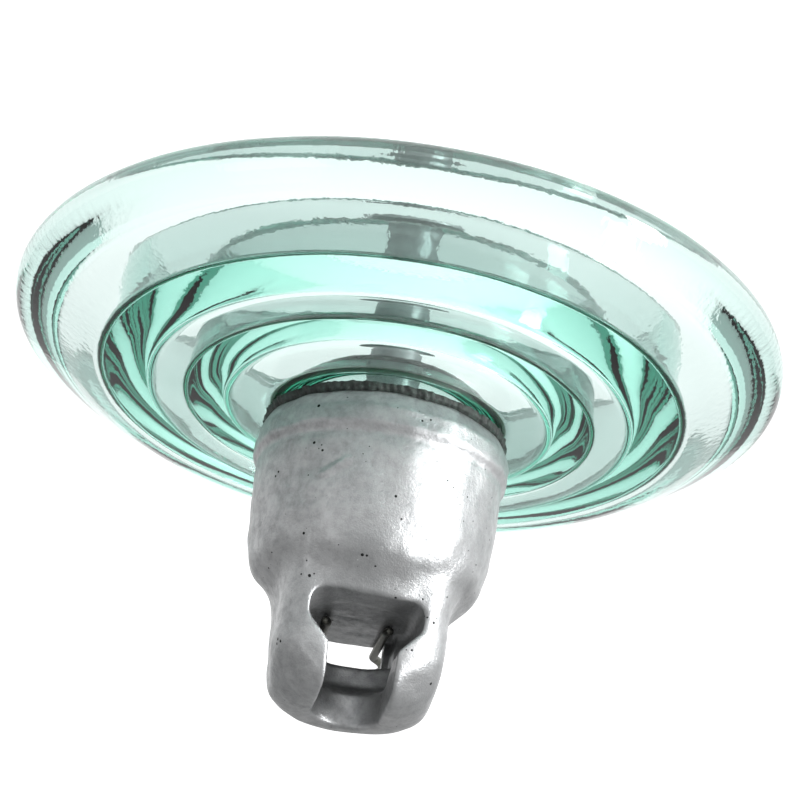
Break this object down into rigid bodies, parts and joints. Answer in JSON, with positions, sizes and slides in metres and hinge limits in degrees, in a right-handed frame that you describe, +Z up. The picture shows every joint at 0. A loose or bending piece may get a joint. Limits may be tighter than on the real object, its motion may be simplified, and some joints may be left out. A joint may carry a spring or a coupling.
{
  "type": "cap-and-pin glass suspension insulator",
  "caption": "Round ribbed glass disc hung between a galvanised socket cap and a ball-ended pin, with a sliding locking clip in the socket.",
  "frame": {"origin": "centre of the ball on the pin, on the string axis", "axes": "+Z up along the string axis, from the pin's ball to the cap's socket; the socket opens towards -Y; the locking clip's eye is on the +Y side"},
  "size_m": [0.255, 0.255, 0.1702],
  "materials": {
    "cap_iron": "hot-dip galvanised ductile iron, cast skin with small pits",
    "shell_glass": "thermally toughened soda-lime glass, pale green in long light paths",
    "pin_steel": "hot-dip galvanised forged steel",
    "cement": "cured alumina cement",
    "cork": "pressed cork",
    "bitumen": "brushed bitumen paint, uneven edge",
    "clip_steel": "drawn stainless spring wire"
  },
  "bodies": {
    "insulator": {"cap": "cap_iron", "glass_shell": "shell_glass", "pin": "pin_steel", "cap_cement": "cement", "pin_cement": "cement", "head_cushion": "cork", "pin_cushion": "cork", "mouth_seal": "bitumen", "pin_seal": "bitumen"},
    "clip": {"locking_clip": "clip_steel"}
  },
  "joints": [
    {"name": "clip_slide", "type": "slide", "parent": "insulator", "child": "clip", "axis": [0, 1, 0], "range_m": [0, 0.016]}
  ]
}
